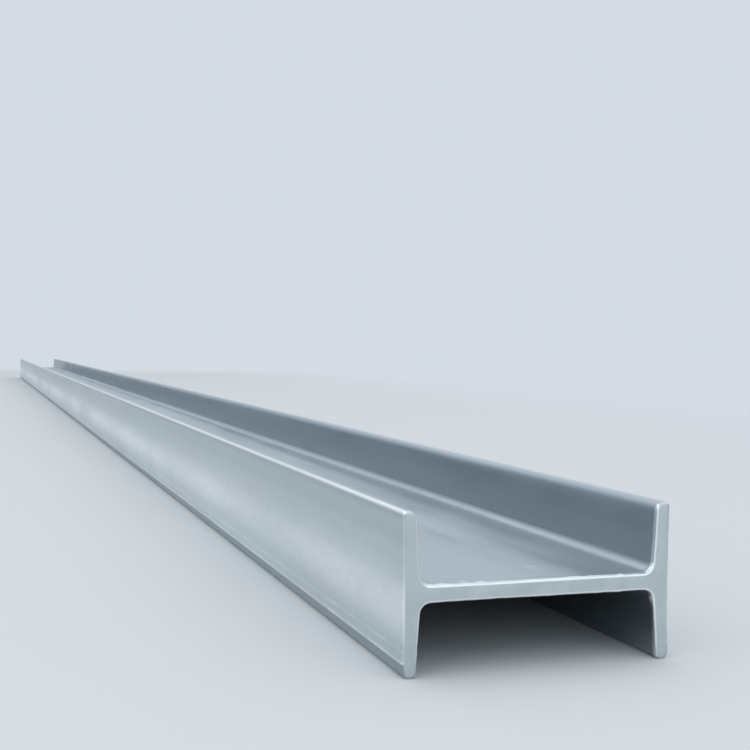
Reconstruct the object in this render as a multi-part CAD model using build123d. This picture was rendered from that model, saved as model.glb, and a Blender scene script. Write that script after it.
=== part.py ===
from build123d import *
import os
from math import radians, tan

# Hot-rolled steel I-beam with slightly tapered flanges, one piece of stock.
# It lies on its flange toes, so the web is level and the flanges stand up.
# Millimetres. X runs along the beam, Y across its depth, Z up.
# The origin is on the floor, under the middle of the beam.

# Sizes of the rolled section
beam_length = 6000.0
beam_depth = 180.0
flange_width = 100.0
web_thickness = 10.0
flange_thickness = 10.4
flange_taper_angle = 4.0
root_radius = 7.0

# Corners of the flange toes: the rolls left the upper ones sharper outside than the lower ones
upper_toe_outer_radius = 2.0
upper_toe_inner_radius = 5.0
lower_toe_outer_radius = 4.6
lower_toe_inner_radius = 3.6

# Round that the burr and the zinc leave on the edge of both cut ends
cut_edge_radius = 1.2

# Levels and distances that follow from the sizes
web_middle_height = flange_width / 2
web_underside_height = web_middle_height - web_thickness / 2
web_top_height = web_middle_height + web_thickness / 2
flange_face_distance = beam_depth / 2
# A tapered flange has its stated thickness halfway between its toe and the middle of the web
quarter_width = flange_width / 4


def flange_inner_distance(height):
    """How far the inner face of a flange is from the middle of the beam, at a height above the floor."""
    from_quarter = quarter_width - abs(height - web_middle_height)
    thickness = flange_thickness + from_quarter * tan(radians(flange_taper_angle))
    return flange_face_distance - thickness


def half_section():
    """One flange with its half of the web, as a face across the beam, its roots filled and its toes rounded."""
    upper_toe_outside = (flange_face_distance, flange_width)
    upper_toe_inside = (flange_inner_distance(flange_width), flange_width)
    upper_root = (flange_inner_distance(web_top_height), web_top_height)
    lower_root = (flange_inner_distance(web_underside_height), web_underside_height)
    lower_toe_inside = (flange_inner_distance(0), 0)
    lower_toe_outside = (flange_face_distance, 0)
    outline = Polyline(
        lower_toe_outside,
        upper_toe_outside,
        upper_toe_inside,
        upper_root,
        (0, web_top_height),
        (0, web_underside_height),
        lower_root,
        lower_toe_inside,
        close=True,
    )
    half = Plane.YZ * make_face(outline)
    rounds = {
        upper_root: root_radius,
        lower_root: root_radius,
        upper_toe_outside: upper_toe_outer_radius,
        upper_toe_inside: upper_toe_inner_radius,
        lower_toe_outside: lower_toe_outer_radius,
        lower_toe_inside: lower_toe_inner_radius,
    }
    for (across, height), radius in rounds.items():
        corner = half.vertices().sort_by_distance(Vector(0, across, height))[0]
        half = fillet(corner, radius)
    return half


def i_beam():
    """The whole beam: its section run out over the length, with a small round on both cut ends."""
    half = half_section()
    section = half + mirror(half, about=Plane.XZ)
    bar = extrude(section, amount=beam_length / 2, both=True)
    cut_faces = bar.faces().filter_by(Plane.YZ)
    return fillet(cut_faces.edges(), cut_edge_radius)


os.makedirs("parts", exist_ok=True)
beam = i_beam()
export_step(beam, "parts/i_beam.step")
print("i_beam volume in cubic millimetres:", beam.volume)
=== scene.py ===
# %% [markdown]
# A galvanised steel I-beam
#
# The real object is one bar: hot rolled, sawn to length and dipped in molten zinc. So it is one
# piece here too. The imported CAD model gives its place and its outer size, and this script gives
# it the skin that the rolls, the saw and the zinc left: shallow roll marks, rounded arrises,
# uneven lips of zinc at the cut ends, and a satin blue-grey finish.

import math

import bmesh
import bpy
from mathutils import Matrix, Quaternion, Vector, noise


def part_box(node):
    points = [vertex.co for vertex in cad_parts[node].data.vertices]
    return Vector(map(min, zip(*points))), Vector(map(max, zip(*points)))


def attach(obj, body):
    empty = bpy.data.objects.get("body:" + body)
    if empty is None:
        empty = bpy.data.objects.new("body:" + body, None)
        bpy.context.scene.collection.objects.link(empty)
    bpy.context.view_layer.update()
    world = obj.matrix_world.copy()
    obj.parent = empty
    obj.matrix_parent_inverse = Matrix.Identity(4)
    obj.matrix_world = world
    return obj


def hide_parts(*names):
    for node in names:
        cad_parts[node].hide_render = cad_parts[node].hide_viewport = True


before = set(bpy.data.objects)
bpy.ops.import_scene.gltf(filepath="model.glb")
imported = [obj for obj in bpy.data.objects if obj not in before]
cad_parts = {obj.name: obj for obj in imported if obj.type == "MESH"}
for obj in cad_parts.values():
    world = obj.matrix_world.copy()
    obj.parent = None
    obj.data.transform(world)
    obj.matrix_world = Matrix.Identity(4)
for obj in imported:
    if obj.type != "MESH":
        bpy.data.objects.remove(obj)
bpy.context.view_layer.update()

# %% [markdown]
# The outer size comes from the CAD node's own box, so the skin can't drift away from it. What
# the box doesn't say, such as the web and the fillets, is written here once, in metres. The
# lower toes' radii are a little smaller than the CAD model's, because the foot of each flange
# is set back further down, which leaves them less room. The round of the cut is larger, and
# the burr fills part of it again.

# %% Sizes of the rolled section
MM = 0.001
beam_low, beam_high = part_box("i_beam")
half_length = (beam_high.x - beam_low.x) / 2
half_depth = (beam_high.y - beam_low.y) / 2
flange_width = beam_high.z - beam_low.z
web_thickness = 10.0 * MM
flange_thickness = 10.4 * MM
flange_taper = math.tan(math.radians(4.0))
root_radius = 7.0 * MM
upper_toe_outer_radius = 2.0 * MM
upper_toe_inner_radius = 5.0 * MM
lower_toe_outer_radius = 4.4 * MM
lower_toe_inner_radius = 3.3 * MM
arris_radius = 1.8 * MM
web_middle = flange_width / 2
web_top = web_middle + web_thickness / 2
web_underside = web_middle - web_thickness / 2
print("half length", half_length, "half depth", half_depth, "flange width", flange_width)


def flange_inner(height):
    """Distance of a flange's inner face from the middle of the beam, at a height."""
    from_quarter = flange_width / 4 - abs(height - web_middle)
    return half_depth - flange_thickness - from_quarter * flange_taper


# %% [markdown]
# The outer face of a rolled flange isn't quite flat. The rolls leave a panel a few tenths of a
# millimetre below the edges, with a narrow ledge near the lower toe. These marks run the whole
# length, and light catches on them as thin lines. A bump texture could fake them, but points in
# the section make them real, and they are part of the mesh as well.

# %% Roll marks on the outer face, as depth below the CAD face at each height
lower_toe_recess = 1.1 * MM
upper_toe_recess = 0.18 * MM
roll_marks = [
    (0.00, 9.0), (0.24, 9.8), (0.26, 15.8), (0.52, 16.8),
    (0.55, 80.0), (0.40, 80.8), (0.05, 95.0),
]
outer_face = [(lower_toe_recess, 0)]
outer_face += [(depth * MM, height * MM) for depth, height in roll_marks]
outer_face += [(upper_toe_recess, flange_width)]
print("deepest roll mark in mm:", max(depth for depth, height in roll_marks))

# %% [markdown]
# The section starts as a flat face with sharp corners. Drawing every arc point by hand would
# work, but rounding the corners with a vertex bevel keeps each radius as one number, and the
# reach of an arc along its two sides follows from the angle between them.


# %% Round one corner of the section
def round_corner(mesh, across, height, radius, segments):
    """Round the corner of a flat section that is nearest to a place."""
    place = Vector((-half_length, across, height))
    corner = min(mesh.verts, key=lambda vert: (vert.co - place).length)
    sides = [edge.other_vert(corner).co - corner.co for edge in corner.link_edges]
    turn = math.pi - sides[0].angle(sides[1])
    bmesh.ops.bevel(
        mesh, geom=[corner], offset=radius * math.tan(turn / 2), offset_type="OFFSET",
        affect="VERTICES", segments=segments, profile=0.5, material=-1, clamp_overlap=False,
    )


# %% The section as one flat face
toe_inner = flange_inner(0)
root_inner = flange_inner(web_top)
right_half = [(root_inner, web_underside), (toe_inner, 0)]
right_half += [(half_depth - depth, height) for depth, height in outer_face]
right_half += [(toe_inner, flange_width), (root_inner, web_top)]
left_half = [(-across, height) for across, height in reversed(right_half)]
lower_corner = half_depth - lower_toe_recess
upper_corner = half_depth - upper_toe_recess

bar = bmesh.new()
corners = [bar.verts.new((-half_length, across, height)) for across, height in right_half + left_half]
bar.faces.new(corners)
for side in (1, -1):
    round_corner(bar, side * root_inner, web_top, root_radius, 8)
    round_corner(bar, side * root_inner, web_underside, root_radius, 8)
    round_corner(bar, side * upper_corner, flange_width, upper_toe_outer_radius, 5)
    round_corner(bar, side * toe_inner, flange_width, upper_toe_inner_radius, 7)
    round_corner(bar, side * lower_corner, 0, lower_toe_outer_radius, 7)
    round_corner(bar, side * toe_inner, 0, lower_toe_inner_radius, 6)
print("points round the section:", len(bar.verts))

# %% [markdown]
# One extrusion runs the section along the beam. The edge round each cut end is beveled before
# any further cut, while its ring is still clean.

# %% Run the section out and round its cut ends
run = bmesh.ops.extrude_face_region(bar, geom=bar.faces[:])
run_verts = [part for part in run["geom"] if isinstance(part, bmesh.types.BMVert)]
bmesh.ops.translate(bar, verts=run_verts, vec=(2 * half_length, 0, 0))
bmesh.ops.recalc_face_normals(bar, faces=bar.faces)


def length_along(edge):
    """How far an edge runs along the beam."""
    return abs(edge.verts[0].co.x - edge.verts[1].co.x)


bmesh.ops.bevel(
    bar, geom=[edge for edge in bar.edges if length_along(edge) < half_length],
    offset=arris_radius, offset_type="OFFSET", affect="EDGES",
    segments=5, profile=0.5, material=-1, clamp_overlap=False,
)
print("faces after the end bevel:", len(bar.faces))

# %% [markdown]
# Relief needs points to carry it, and an extruded bar has none between its two ends. A
# Subdivision modifier would add them everywhere and soften the arrises. Plane cuts put rows of
# points only where a mark or a curve needs them, up the flanges and across the web.


# %% Cut the section into rows
def cut(mesh, place, normal):
    """Add a line of points where a plane crosses the mesh."""
    everything = mesh.verts[:] + mesh.edges[:] + mesh.faces[:]
    bmesh.ops.bisect_plane(mesh, geom=everything, dist=1e-6, plane_co=place, plane_no=normal)


flange_rows = [8.5, 10.4, 13, 15.2, 17.4, 20, 24, 28, 32, 37, 63, 68, 73, 77, 79.4, 81.4, 85, 89, 92]
for height in flange_rows:
    cut(bar, (0, 0, height * MM), (0, 0, 1))
web_row_pitch = 3 * MM
web_rows_each_side = 22
for row in range(-web_rows_each_side, web_rows_each_side + 1):
    cut(bar, (0, row * web_row_pitch, 0), (0, 1, 0))
print("points with the rows:", len(bar.verts))

# %% [markdown]
# The stations are cut at even steps first, because that is what the operator does. A sine then
# moves them: it is steep in the middle of the beam and flat at its ends, so the steps there get
# short. A share of the even spacing is kept, or the middle of the beam would be left too coarse.

# %% Divide the length into stations and draw them towards the ends
stations = 190
bmesh.ops.subdivide_edges(
    bar, edges=[edge for edge in bar.edges if length_along(edge) > half_length],
    cuts=stations, use_grid_fill=True,
)

straight = half_length - arris_radius
evenness = 0.14
for vert in bar.verts:
    if abs(vert.co.x) < straight - 1e-6:
        share = vert.co.x / straight
        vert.co.x = straight * (evenness * share + (1 - evenness) * math.sin(share * math.pi / 2))
print("points:", len(bar.verts), "faces:", len(bar.faces))

# %% [markdown]
# The last centimetre before each saw cut carries the smallest forms, so it gets its own rings,
# and its rows are halved once more. The long run between doesn't need them, and neither does the
# flat of the cut, where points in line would only make slivers.

# %% Finer points beside the cut ends
end_rings = [0.7, 1.5, 2.4, 3.4, 4.6, 6.2, 8.0]
for from_arris in end_rings:
    for end in (1, -1):
        cut(bar, (end * (straight - from_arris * MM), 0, 0), (1, 0, 0))

end_zone = 9 * MM
off_the_cut = 0.01 * MM
level_ring = 0.05 * MM
worth_halving = 1.3 * MM


def to_be_halved(edge):
    """Whether an edge runs round the section beside a cut, and is long enough to halve."""
    from_end = half_length - abs(edge.verts[0].co.x)
    in_zone = off_the_cut < from_end < end_zone
    return in_zone and length_along(edge) < level_ring and edge.calc_length() > worth_halving


bmesh.ops.subdivide_edges(bar, edges=[edge for edge in bar.edges if to_be_halved(edge)], cuts=1)
print("points with the end zones:", len(bar.verts))

# %% [markdown]
# The saw cuts get a material of their own, chosen by the way a face points. It could be chosen
# when the mesh is finished, but by then lumps and beads have turned some faces, and the line
# between the two finishes would be ragged. So the faces are marked now.

# %% Mark the sawn faces
square_to_beam = 0.95
bar.normal_update()
for face in bar.faces:
    face.material_index = 1 if abs(face.normal.x) > square_to_beam else 0
print("sawn faces:", sum(face.material_index for face in bar.faces))

# %% [markdown]
# Rolled steel under zinc is never dead straight. Waves move the faces by up to about a third of
# a millimetre, which is enough to bend a reflection. Noise from mathutils depends only on the
# place, so every run gives the same beam. The direction that each point faces is kept before any
# move. Each point also gets two values for the material. One is how bright its zinc is: beads
# and lumps make it brighter, and so do painted highlights. The other is how far inside the
# flanges it lies, which the material darkens as painted shade.

# %% Directions, values and noise for the relief
# The bead attribute holds bead and lump zinc and painted highlights; the inside attribute guides
# painted shade.
bead_and_highlight_layer = bar.verts.layers.float.new("bead")
inside_layer = bar.verts.layers.float.new("inside")
normals = {vert: vert.normal.copy() for vert in bar.verts}
print("points that can move:", len(normals))


def limited(value):
    """A value kept between 0 and 1."""
    return max(0, min(1, value))


def wave(place, along, around, seed):
    """Smooth noise from -1 to 1, with one length along the beam and another round the section."""
    return noise.noise(Vector((place.x / along, place.y / around, place.z / around + seed)))


def is_inside_flange(place, normal):
    """1 on the faces between the flanges, 0 on the outer faces and the toes."""
    off_toe = abs(place.y) < toe_inner + 1.0 * MM
    off_cut = abs(normal.x) < 0.99
    return 1 if off_toe and off_cut else 0


# %% Waves in the rolled faces
slow_mm = 0.22
quick_mm = 0.06
quick_mm_more_inside = 0.24
wave_moves = []
for vert, normal in normals.items():
    place = vert.co.copy()
    quick_here_mm = quick_mm + quick_mm_more_inside * is_inside_flange(place, normal)
    slow = wave(place, 0.70, 0.120, 3.1) * slow_mm * MM
    quick = wave(place, 0.10, 0.026, 8.7) * quick_here_mm * MM
    vert.co += Vector((0, normal.y, normal.z)) * (slow + quick)
    wave_moves.append(abs(slow + quick) / MM)
print("highest wave in mm:", round(max(wave_moves), 2))

# %% [markdown]
# At a cut end the saw turns up a small burr, and zinc gathers on it in a bead. On the real beam
# it is an uneven bright rim, mostly along the top of the web, with a few small teeth. A tube
# laid along the edge would look stuck on. Here the points beside the cut swell instead, by an
# amount that noise varies along the edge, so the bead grows out of the face.


# %% Height of the bead along a cut
def bead_height(place, normal, end):
    """How far the bead stands over the face beside it."""
    swell = 0.5 + 0.5 * wave(place, 5.0, 0.024, 40 + 9 * end)
    tooth = max(0, wave(place, 5.0, 0.0046, 70 + 9 * end) - 0.1)
    upper = 0.35 + 0.65 * max(0, normal.z)
    return upper * (0.15 + 0.95 * swell ** 3 + 3.0 * swell * tooth) * MM


middle_of_cut = Vector((half_length, 0, web_top))
middle_bead = bead_height(middle_of_cut, Vector((0, 0, 1)), 1)
print("bead on the web in the middle of the near cut, in mm:", round(middle_bead / MM, 2))

# %% [markdown]
# Under the web, on the flanges' inner faces and under the lower toes the burr shows in another
# way: it fills the round of the arris, so that the edge is squarer there. The thin bright rim
# on it is a painted highlight, set with the beads. A second, sharper bevel could fill the round,
# but it would stop at a step. A formula fades the burr out towards the outer faces and the
# upper toes.

# %% Burr that fills the round of the cut
toe_fade = 3.6 * MM
squareness = 5


def inwardness(place):
    """1 on the faces between the flanges, falling to 0 over the toes."""
    return limited((half_depth - toe_fade - abs(place.y)) / toe_fade)


def filled_round(normal):
    """How much further out a point of the round lies when a burr fills it."""
    across = math.hypot(normal.y, normal.z)
    round_size = (abs(normal.x) ** squareness + across ** squareness) ** (1 / squareness)
    return arris_radius * (1 / round_size - 1)


def hanging_burr(place, normal):
    """How far the burr hangs down where the face beside the cut looks down."""
    uneven = 0.45 + 0.30 * wave(place, 5.0, 0.007, 25)
    return uneven * min(0, normal.z) ** 2 * MM


half_way_round = Vector((1, 0, -1)).normalized()
print("most that the burr adds to the round, in mm:", round(filled_round(half_way_round) / MM, 2))

# %% [markdown]
# Both forms depend on the distance from the cut: the bead is highest two millimetres from it,
# and the rim lies on the arris itself. A bell curve gives each its width. The same loop writes
# how bright the zinc is, for the material to read: brighter zinc on the bead, and a painted
# highlight on the rim of the arris, on the outer faces, the inner arrises and the lower toes.
# It also writes how far inside a point lies, which the material darkens as painted shade.

# %% Raise the beads and fill the round
bead_middle, bead_spread, bead_wander = 2.1 * MM, 2.0 * MM, 0.7 * MM
arris_middle, arris_spread = 0.6 * MM, 0.9 * MM
foot_height = 6 * MM
# Painted highlight on the arris of the cut: on the outer faces, more towards the top, and under the
# lower toes.
outer_rim_shine, more_shine_at_top = 0.30, 0.15
lower_toe_shine = 0.8


def bell(distance, middle, spread):
    """1 at the middle of a band, falling smoothly to 0 beside it."""
    return math.exp(-((distance - middle) / spread) ** 2)


bead_moves = []
for vert, normal in normals.items():
    end = 1 if vert.co.x > 0 else -1
    from_end = half_length - abs(vert.co.x)
    inward = inwardness(vert.co)
    upward = max(0, normal.z)
    downward = max(0, -normal.z)
    off_floor = limited(vert.co.z / foot_height)
    rim = bell(from_end, arris_middle, arris_spread)
    if is_inside_flange(vert.co, normal):
        wander = bead_wander * wave(vert.co, 5.0, 0.009, 90)
        hump = bell(from_end, bead_middle + wander, bead_spread)
        rise = bead_height(vert.co, normal, end) * hump
        vert.co += Vector((0, normal.y, normal.z)) * rise
        bead_moves.append(rise / MM)
        # Brighter zinc on the bead with a painted highlight on it, and a painted highlight on the rim
        # of the inner arrises.
        bead_shine = hump * (1 - abs(normal.x) ** 4) * (1 - 0.5 * upward)
        bright = max(bead_shine, rim * (1 - abs(normal.x) ** 10) * (1 - upward))
    else:
        # Painted highlight on the outer arris, brighter towards the top.
        shine_here = outer_rim_shine + more_shine_at_top * vert.co.z / flange_width
        bright = rim * (1 - abs(normal.x) ** 4) * shine_here
    vert.co += normal * filled_round(normal) * max(inward, downward) * (1 - upward)
    vert.co.z -= hanging_burr(vert.co, normal) * rim * inward * off_floor
    # Painted highlight on the rim under the lower toes.
    vert[bead_and_highlight_layer] = max(bright, lower_toe_shine * rim * downward)
    # How far inside a point lies; the material darkens it as painted shade.
    vert[inside_layer] = inward * (1 - normal.x ** 2)
print("tallest bead in mm:", round(max(bead_moves), 2))

# %% [markdown]
# Bright lines along the outer arris of each upper toe, and in patches along the two low ridges
# near the foot, are painted highlights: they stand for the light that these edges catch. They
# could be painted in the material by height alone. They go into the same attribute as the beads
# instead, so that one bright zinc serves both, and the mesh carries them.

# %% Painted highlights on the long edges
# Painted highlight: the outer arris of each upper toe, and the two ridges near the foot in patches.
toe_shine_from, toe_shine_rise = 97.8 * MM, 0.8 * MM
toe_shine_width, toe_shine_fade = 2.4 * MM, 0.9 * MM
foot_ridge, second_ridge, ridge_spread = 9.7 * MM, 16.3 * MM, 1.2 * MM


def ridge_shine(place, ridge):
    """1 on a ridge near the foot, falling to 0 beside it."""
    return max(0, 1 - abs(place.z - ridge) / ridge_spread)


def edge_highlight(place, normal):
    """How bright the painted highlight on a long edge is."""
    if is_inside_flange(place, normal) or abs(normal.x) > 0.9:
        return 0
    if place.z > web_middle:
        up = limited((place.z - toe_shine_from) / toe_shine_rise)
        out = limited((abs(place.y) - half_depth + toe_shine_width) / toe_shine_fade)
        return up * out
    patchy = 0.8 + 0.6 * wave(place, 0.035, 1.0, 55)
    return patchy * max(ridge_shine(place, foot_ridge), 0.7 * ridge_shine(place, second_ridge))


for vert, normal in normals.items():
    vert[bead_and_highlight_layer] = max(vert[bead_and_highlight_layer], edge_highlight(vert.co, normal))
print("bright points:", sum(1 for vert in bar.verts if vert[bead_and_highlight_layer] > 0.5))

# %% [markdown]
# The bath also leaves a few drips and lumps where zinc ran together before it froze: on a lower
# toe, under the web, on an inner face. Each is a place in metres, and a radius and a height in
# millimetres. The points within that radius rise in a smooth mound, and the fresh zinc on it is
# a little brighter.

# %% Drips and lumps of zinc
lump_shine = 0.4
lumps = [
    (2.985, -0.0880, 0.0030, 4.5, 1.1), (2.972, 0.0790, 0.0290, 6.0, 1.1),
    (2.994, 0.0200, 0.0450, 5.0, 0.9), (2.991, -0.0480, 0.0550, 4.5, 0.8),
    (2.960, 0.0130, 0.0550, 8.0, 0.6), (2.935, -0.0805, 0.0720, 7.0, 0.7),
    (2.996, 0.0798, 0.0395, 4.5, 1.6), (2.996, 0.0885, 0.0020, 5.0, 1.3),
    (-2.988, 0.0885, 0.0020, 6.0, 1.5), (-2.975, -0.0795, 0.0300, 6.5, 1.0),
    (-2.992, -0.0300, 0.0450, 5.0, 1.0), (-2.985, 0.0500, 0.0550, 5.5, 0.8),
]
lump_points = 0
for x, y, z, radius, height in lumps:
    middle = Vector((x, y, z))
    for vert, normal in normals.items():
        away = (vert.co - middle).length / (radius * MM)
        if away < 1:
            mound = (1 - away * away) ** 2
            vert.co += Vector((0, normal.y, normal.z)) * height * MM * mound
            vert[bead_and_highlight_layer] = max(vert[bead_and_highlight_layer], lump_shine * mound)
            lump_points += 1
print("points in the lumps:", lump_points)

# %% [markdown]
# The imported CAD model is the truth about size, so no wave or drip may stand past its box. A
# point that does is put back on the box. The moves are so small that nothing shows of it.

# %% Keep the skin inside the CAD box
drawn_back = 0
for vert in bar.verts:
    kept = Vector(max(low, min(high, value)) for low, high, value in zip(beam_low, beam_high, vert.co))
    drawn_back += (kept - vert.co).length > 0.01 * MM
    vert.co = kept
print("points drawn back to the box:", drawn_back)

# %% [markdown]
# The mesh becomes an object at the origin, with its place in its points, because the CAD model
# has it so. The CAD solid is hidden, since this skin takes its place, and the skin is attached
# to the one body.

# %% Make the beam's object
bar.normal_update()
for face in bar.faces:
    face.smooth = True
beam_data = bpy.data.meshes.new("galvanised_beam")
bar.to_mesh(beam_data)
bar.free()
beam = bpy.data.objects.new("galvanised_beam", beam_data)
bpy.context.scene.collection.objects.link(beam)
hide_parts("i_beam")
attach(beam, "root")
print("triangles:", sum(len(face.vertices) - 2 for face in beam_data.polygons))

# %% [markdown]
# A material is a small graph of nodes. A handful of helpers keeps the graphs readable: one adds
# a node, one makes a noise stretched along the beam, one moves a value to another range, one
# does sums and one mixes two colours. Two more start a metal and give it a fine relief. All
# noise reads the object's own coordinates, in metres, so the pattern stays on the steel wherever
# the camera stands.


# %% Add a node, and stretch a noise
def add_node(tree, kind, **values):
    """A node of a kind, with its input sockets set by name."""
    node = tree.nodes.new(kind)
    for name, value in values.items():
        node.inputs[name.replace("_", " ")].default_value = value
    return node


def stretched_noise(tree, scale, detail, seed):
    """Noise on the object's own coordinates, with its own scale along each axis."""
    coordinates = tree.nodes.new("ShaderNodeTexCoord")
    mapping = add_node(tree, "ShaderNodeMapping", Scale=scale, Location=(seed, seed, seed))
    texture = add_node(tree, "ShaderNodeTexNoise", Scale=1.0, Detail=detail, Roughness=0.55)
    tree.links.new(coordinates.outputs["Object"], mapping.inputs["Vector"])
    tree.links.new(mapping.outputs["Vector"], texture.inputs["Vector"])
    return texture.outputs["Fac"]


# %% Move a value to another range, and do sums
def remap(tree, value, from_low, from_high, to_low, to_high):
    """A value moved from one range to another, with soft ends."""
    node = add_node(
        tree, "ShaderNodeMapRange",
        From_Min=from_low, From_Max=from_high, To_Min=to_low, To_Max=to_high,
    )
    node.interpolation_type = "SMOOTHSTEP"
    tree.links.new(value, node.inputs["Value"])
    return node.outputs["Result"]


def calculate(tree, operation, first, second):
    """A sum, product or other result of two values or value sockets."""
    node = tree.nodes.new("ShaderNodeMath")
    node.operation = operation
    for socket, value in ((node.inputs[0], first), (node.inputs[1], second)):
        if isinstance(value, (int, float)):
            socket.default_value = value
        else:
            tree.links.new(value, socket)
    return node.outputs["Value"]


# %% Mix two colours
def blend_colours(tree, share, first, second):
    """A mix of two colours or colour sockets."""
    node = tree.nodes.new("ShaderNodeMix")
    node.data_type = "RGBA"
    tree.links.new(share, node.inputs["Factor"])
    for socket, colour in ((node.inputs[6], first), (node.inputs[7], second)):
        if isinstance(colour, tuple):
            socket.default_value = colour
        else:
            tree.links.new(colour, socket)
    return node.outputs[2]


# %% Start a metal
def metal(name):
    """A new material with the shader set to bare metal, its node tree and its shader."""
    material = bpy.data.materials.new(name)
    material.use_nodes = True
    shader = material.node_tree.nodes["Principled BSDF"]
    shader.inputs["Metallic"].default_value = 1.0
    return material, material.node_tree, shader


def add_relief(tree, shader, height, distance):
    """Bend the shader's normal by a height, as a fine bump."""
    bump = add_node(tree, "ShaderNodeBump", Strength=0.5, Distance=distance)
    tree.links.new(height, bump.inputs["Height"])
    tree.links.new(bump.outputs["Normal"], shader.inputs["Normal"])


# %% [markdown]
# Fresh hot-dip zinc on rolled steel is a satin blue-grey metal. The rolls drew faint streaks
# along it, and the bath cooled in soft clouds. One flat grey would look like paint. Two noises,
# one stretched almost eightyfold along the beam and one only threefold, are added to choose
# between a darker and a lighter grey, and a third warms the grey in places.

# %% Grey of the rolled zinc, in streaks and clouds
dark_zinc = (0.48, 0.55, 0.58, 1)
light_zinc = (0.71, 0.775, 0.795, 1)
warm_zinc = (0.675, 0.695, 0.715, 1)
rolled_zinc, zinc, zinc_shader = metal("rolled_zinc")
streaks = stretched_noise(zinc, (0.9, 70, 70), 4, 4.0)
clouds = stretched_noise(zinc, (5, 14, 14), 3, 11.0)
streak_share = remap(zinc, streaks, 0.15, 0.85, 0, 0.5)
cloud_share = remap(zinc, clouds, 0.2, 0.8, 0, 0.5)
lightness = calculate(zinc, "ADD", streak_share, cloud_share)
zinc_colour = blend_colours(zinc, lightness, dark_zinc, light_zinc)
warm_share = remap(zinc, stretched_noise(zinc, (2.4, 9, 9), 2, 23.0), 0.45, 0.8, 0, 0.55)
zinc_colour = blend_colours(zinc, warm_share, zinc_colour, warm_zinc)
print("nodes for the zinc's grey:", len(zinc.nodes))

# %% [markdown]
# Low on the outer face a painted highlight makes the zinc paler, in broad patches: it stands for
# the soft bright reflection that the face shows there. Finer than that is a faint mottle of
# about a centimetre, where the zinc's crystals met. Both could come from an image, but noise does
# it with a few nodes, limited by height for the patches, and follows the beam however long it is.

# %% Painted highlight on the belly, and mottle
belly_highlight_zinc = (0.89, 0.915, 0.925, 1)
mottle_zinc = (0.40, 0.45, 0.49, 1)
place = zinc.nodes.new("ShaderNodeTexCoord")
parts = zinc.nodes.new("ShaderNodeSeparateXYZ")
zinc.links.new(place.outputs["Object"], parts.inputs["Vector"])
height_up = parts.outputs["Z"]
# Painted highlight: a paler band from about 12 to 70 mm up, in patches.
belly_start = remap(zinc, height_up, 0.012, 0.042, 0, 1)
belly_end = remap(zinc, height_up, 0.042, 0.070, 1, 0)
patches = remap(zinc, stretched_noise(zinc, (2.2, 3, 3), 2, 61.0), 0.25, 0.7, 0.25, 0.95)
belly_highlight = calculate(zinc, "MULTIPLY", calculate(zinc, "MULTIPLY", belly_start, belly_end), patches)
zinc_colour = blend_colours(zinc, belly_highlight, zinc_colour, belly_highlight_zinc)
mottle = remap(zinc, stretched_noise(zinc, (70, 130, 130), 4, 71.0), 0.35, 0.75, 0, 0.10)
zinc_colour = blend_colours(zinc, mottle, zinc_colour, mottle_zinc)
print("nodes with the belly and the mottle:", len(zinc.nodes))

# %% [markdown]
# Painted shade darkens the foot of each flange, below the lowest roll mark, and the panel
# towards the upper toe, with a faint step at the upper roll mark and a darker band just under
# the toe: it stands for the darker surroundings that these faces reflect. The faces between the
# flanges get painted shade too, for the shade that falls between them. The bands go by height,
# and the inner faces by the attribute that the mesh carries.

# %% Painted shade in bands and on the inner faces
# The dark greys below are painted shade.
painted_shade_zinc = (0.29, 0.345, 0.385, 1)
inner_shade_zinc = (0.31, 0.37, 0.41, 1)
# Painted shade: the foot, the slope up to the toe, the step and the band under the toe, by height.
foot_start = remap(zinc, height_up, 0.001, 0.0075, 0.65, 0.85)
foot_end = remap(zinc, height_up, 0.0082, 0.0092, 1, 0)
foot = calculate(zinc, "MULTIPLY", foot_start, foot_end)
shoulder_slope = remap(zinc, height_up, 0.045, 0.092, 0, 0.32)
shoulder_step = remap(zinc, height_up, 0.079, 0.082, 0, 0.07)
toe_band = remap(zinc, height_up, 0.0925, 0.0965, 0, 0.17)
shoulder = calculate(zinc, "ADD", calculate(zinc, "ADD", shoulder_slope, shoulder_step), toe_band)
zinc_colour = blend_colours(zinc, calculate(zinc, "ADD", foot, shoulder), zinc_colour, painted_shade_zinc)
# Painted shade on the faces between the flanges.
inside = zinc.nodes.new("ShaderNodeAttribute")
inside.attribute_name = "inside"
inner_shade_share = remap(zinc, inside.outputs["Fac"], 0, 1, 0, 0.8)
zinc_colour = blend_colours(zinc, inner_shade_share, zinc_colour, inner_shade_zinc)
print("nodes with the bands:", len(zinc.nodes))

# %% [markdown]
# Beads and lumps are the brightest zinc on the beam, and the same grey carries the painted
# highlights on the arrises, the rims, the upper toes' outer edges and the ridges near the foot.
# The mesh says where they are. Last come a few dark specks, no larger than a lentil, where dross
# stuck.

# %% Bright beads, painted highlights and dark specks
# The bright grey is bead and lump zinc, and painted highlight on the edges and rims.
bright_zinc_and_highlight = (0.82, 0.85, 0.87, 1)
dross = (0.25, 0.27, 0.28, 1)
bead = zinc.nodes.new("ShaderNodeAttribute")
bead.attribute_name = "bead"
bright_and_highlight_share = remap(zinc, bead.outputs["Fac"], 0.15, 0.75, 0, 0.9)
zinc_colour = blend_colours(zinc, bright_and_highlight_share, zinc_colour, bright_zinc_and_highlight)
dirt = remap(zinc, stretched_noise(zinc, (95, 130, 130), 1, 47.0), 0.78, 0.86, 0, 0.5)
zinc_colour = blend_colours(zinc, dirt, zinc_colour, dross)
zinc.links.new(zinc_colour, zinc_shader.inputs["Base Color"])
print("nodes of the zinc's colour:", len(zinc.nodes))

# %% [markdown]
# Satin is a matter of roughness. The streaks and the clouds that colour the zinc roughen it as
# well, so that its sheen breaks up in the same places. A bump of a few hundredths of a
# millimetre gives it a grain that only a close look finds.

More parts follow.
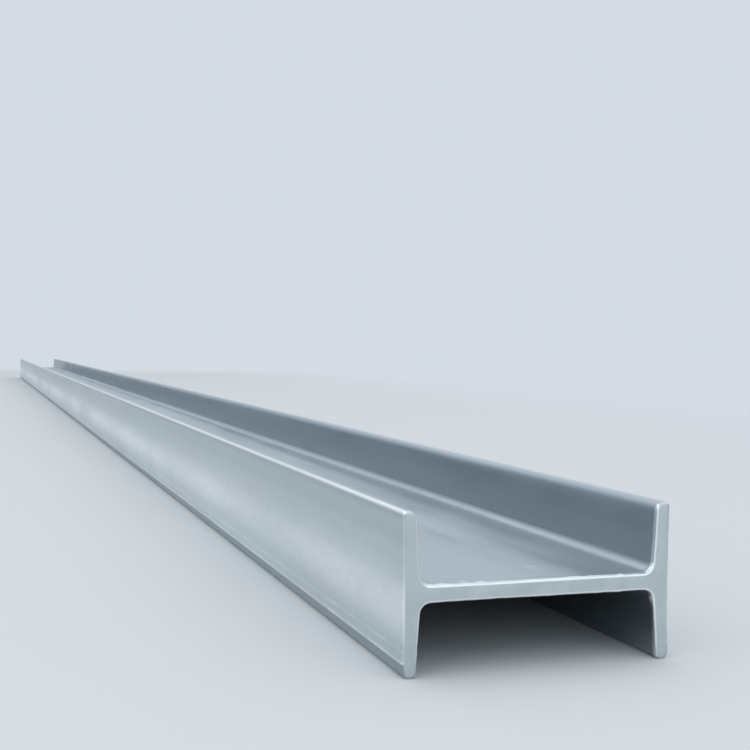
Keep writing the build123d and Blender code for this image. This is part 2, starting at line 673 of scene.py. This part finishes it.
# %% Sheen and grain of the rolled zinc
rolled_bump = 0.15 * MM
streak_sheen = remap(zinc, streaks, 0.2, 0.8, 0.22, 0.32)
cloud_sheen = remap(zinc, clouds, 0.2, 0.8, 0, 0.16)
sheen = calculate(zinc, "ADD", streak_sheen, cloud_sheen)
zinc.links.new(sheen, zinc_shader.inputs["Roughness"])
grain = calculate(zinc, "MULTIPLY", stretched_noise(zinc, (420, 700, 700), 3, 31.0), 0.10)
add_relief(zinc, zinc_shader, calculate(zinc, "ADD", streaks, grain), rolled_bump)
print("nodes of the rolled zinc:", len(zinc.nodes))

# %% [markdown]
# A saw cut takes the zinc in another way than a rolled face: duller, more even, with soft
# upright bands where the blade wandered. It gets its own small material, so that the rolled
# faces' streaks don't run across it.

# %% Zinc on the sawn ends
dark_cut = (0.46, 0.515, 0.535, 1)
light_cut = (0.59, 0.645, 0.66, 1)
cut_dross = (0.27, 0.29, 0.30, 1)
sawn_bump = 0.2 * MM
sawn_zinc, sawn, sawn_shader = metal("sawn_zinc")
sawn_clouds = stretched_noise(sawn, (40, 40, 40), 4, 5.0)
sawn_bands = stretched_noise(sawn, (40, 75, 14), 2, 9.0)
sawn_cloud_share = remap(sawn, sawn_clouds, 0.2, 0.8, 0, 0.45)
sawn_band_share = remap(sawn, sawn_bands, 0.15, 0.85, 0, 0.5)
sawn_share = calculate(sawn, "ADD", sawn_cloud_share, sawn_band_share)
sawn_colour = blend_colours(sawn, sawn_share, dark_cut, light_cut)
sawn_dirt = remap(sawn, stretched_noise(sawn, (170, 170, 170), 1, 53.0), 0.76, 0.84, 0, 0.4)
sawn_colour = blend_colours(sawn, sawn_dirt, sawn_colour, cut_dross)
sawn.links.new(sawn_colour, sawn_shader.inputs["Base Color"])
sawn.links.new(remap(sawn, sawn_clouds, 0.2, 0.8, 0.36, 0.48), sawn_shader.inputs["Roughness"])
sawn_grain = calculate(sawn, "MULTIPLY", stretched_noise(sawn, (700, 700, 700), 3, 31.0), 0.10)
add_relief(sawn, sawn_shader, calculate(sawn, "ADD", sawn_bands, sawn_grain), sawn_bump)
beam_data.materials.append(rolled_zinc)
beam_data.materials.append(sawn_zinc)
print("nodes of the sawn zinc:", len(sawn.nodes))

# %% [markdown]
# The floor is a stage, not part of the beam. It is a plain pale plane, large enough to have no
# edge in any view. It keeps the beam's shadow. A horizon line would draw the eye, so the paint
# melts into the backdrop's colour with the distance from a rectangle round the beam.

# %% Floor
backdrop_colour = (0.655, 0.71, 0.77, 1)
floor_reach = 60
floor_mesh = bmesh.new()
bmesh.ops.create_grid(floor_mesh, x_segments=1, y_segments=1, size=floor_reach)
floor_data = bpy.data.meshes.new("floor")
floor_mesh.to_mesh(floor_data)
floor_mesh.free()
floor = bpy.data.objects.new("floor", floor_data)
bpy.context.scene.collection.objects.link(floor)
print("floor across in metres:", floor.dimensions.x)

# %% Floor paint
floor_paint = bpy.data.materials.new("pale_floor")
floor_paint.use_nodes = True
paint = floor_paint.node_tree
paint_shader = paint.nodes["Principled BSDF"]
paint_shader.inputs["Base Color"].default_value = (0.61, 0.635, 0.65, 1)
paint_shader.inputs["Roughness"].default_value = 0.9
paint_shader.inputs["Specular IOR Level"].default_value = 0.2
print("nodes of the plain paint:", len(paint.nodes))


# %% Distance from the beam over the floor
def vector_step(operation, vector, other=(0, 0, 0)):
    """One step of vector arithmetic in the floor's paint."""
    node = paint.nodes.new("ShaderNodeVectorMath")
    node.operation = operation
    paint.links.new(vector, node.inputs[0])
    node.inputs[1].default_value = other
    return node.outputs["Value" if operation == "LENGTH" else "Vector"]


floor_place = paint.nodes.new("ShaderNodeTexCoord")
shadow_room = 0.3
from_middle = vector_step("ABSOLUTE", floor_place.outputs["Object"])
beyond = vector_step("SUBTRACT", from_middle, (half_length + shadow_room, half_depth + shadow_room, 0))
distance = vector_step("LENGTH", vector_step("MAXIMUM", beyond))
print("the paint is whole within", shadow_room, "m of the beam")

# %% Melt the floor into the backdrop
far_glow = add_node(paint, "ShaderNodeEmission", Color=backdrop_colour, Strength=1.0)
melt = paint.nodes.new("ShaderNodeMixShader")
paint.links.new(remap(paint, distance, 0.1, 1.7, 0, 1), melt.inputs["Fac"])
paint.links.new(paint_shader.outputs["BSDF"], melt.inputs[1])
paint.links.new(far_glow.outputs["Emission"], melt.inputs[2])
paint.links.new(melt.outputs["Shader"], paint.nodes["Material Output"].inputs["Surface"])
floor_data.materials.append(floor_paint)
print("nodes of the floor paint:", len(paint.nodes))

# %% [markdown]
# Metal shows what is round it, so the world does two things. It gives a soft even light, and
# where the camera or a reflection looks at it, it shows the pale backdrop. A Light Path node
# tells the two apart, so the backdrop can be pale without more light on the steel.

# %% World
world = bpy.data.worlds.new("soft_studio")
bpy.context.scene.world = world
world.use_nodes = True
studio = world.node_tree
light_level = studio.nodes["Background"]
light_level.inputs["Color"].default_value = (0.80, 0.86, 0.92, 1)
light_level.inputs["Strength"].default_value = 0.7
backdrop = add_node(studio, "ShaderNodeBackground", Color=backdrop_colour, Strength=1.0)
path = studio.nodes.new("ShaderNodeLightPath")
seen = calculate(studio, "ADD", path.outputs["Is Camera Ray"], path.outputs["Is Glossy Ray"])
seen = calculate(studio, "ADD", seen, path.outputs["Is Transmission Ray"])
choice = studio.nodes.new("ShaderNodeMixShader")
studio.links.new(seen, choice.inputs["Fac"])
studio.links.new(light_level.outputs["Background"], choice.inputs[1])
studio.links.new(backdrop.outputs["Background"], choice.inputs[2])
studio.links.new(choice.outputs["Shader"], studio.nodes["World Output"].inputs["Surface"])
print("world nodes:", len(studio.nodes))

# %% [markdown]
# Outdoors on a grey day, light comes from above and a little from everywhere. Hard lamps would
# put spots on the zinc. A long softbox overhead does the same as the day: its reflection draws
# the bright line along the toes, together with the painted highlight on their outer arris. Two
# smaller ones near the cut end model the outer face and the saw cut.


# %% Lamps
def softbox(name, place, target, width, height, power, spread=180):
    """A large rectangular lamp that faces a target, with a grid that narrows its spread."""
    light = bpy.data.lights.new(name, "AREA")
    light.shape = "RECTANGLE"
    light.size = width
    light.size_y = height
    light.energy = power
    light.spread = math.radians(spread)
    lamp = bpy.data.objects.new(name, light)
    lamp.location = place
    lamp.rotation_euler = (Vector(target) - Vector(place)).to_track_quat("-Z", "Y").to_euler()
    bpy.context.scene.collection.objects.link(lamp)
    print("softbox", name, "at", place, "with", power, "W")


softbox(
    "overhead", place=(0.4, 0.5, 2.4), target=(0.4, 0.4, 0.0),
    width=11.0, height=6.4, power=112, spread=160,
)
softbox("side", place=(3.7, -2.6, 1.3), target=(2.9, 0.0, 0.05), width=3.4, height=2.4, power=18)
softbox("front", place=(6.0, 0.9, 1.4), target=(2.8, 0.0, 0.05), width=3.4, height=2.4, power=16)

# %% [markdown]
# The camera stands where the photograph's did, as worked out from its straight edges: close to
# the cut end, a little above the upper toes, looking along the outer face. It is turned a few
# degrees further left and down, so that the whole beam is in the frame without a lens shift.

# %% Camera
camera_data = bpy.data.cameras.new("camera")
camera = bpy.data.objects.new("camera", camera_data)
bpy.context.scene.collection.objects.link(camera)
beam_corner = Vector((half_length, -half_depth, web_middle))
camera_from_corner = Vector((0.679, -0.2415, 0.1492))
heading = math.radians(18.2)
tilt = math.radians(-1.5)
roll = math.radians(0.5)
level = Vector((-math.cos(heading), math.sin(heading), 0))
forward = level * math.cos(tilt) + Vector((0, 0, math.sin(tilt)))
camera.location = beam_corner + camera_from_corner
camera.rotation_mode = "QUATERNION"
camera.rotation_quaternion = forward.to_track_quat("-Z", "Y") @ Quaternion((0, 0, 1), roll)
camera_data.sensor_width = 36
camera_data.lens = 58.9
camera_data.clip_start = 0.01
bpy.context.scene.camera = camera
bpy.context.scene.view_settings.view_transform = "Standard"
print("camera at", tuple(round(value, 3) for value in camera.location))
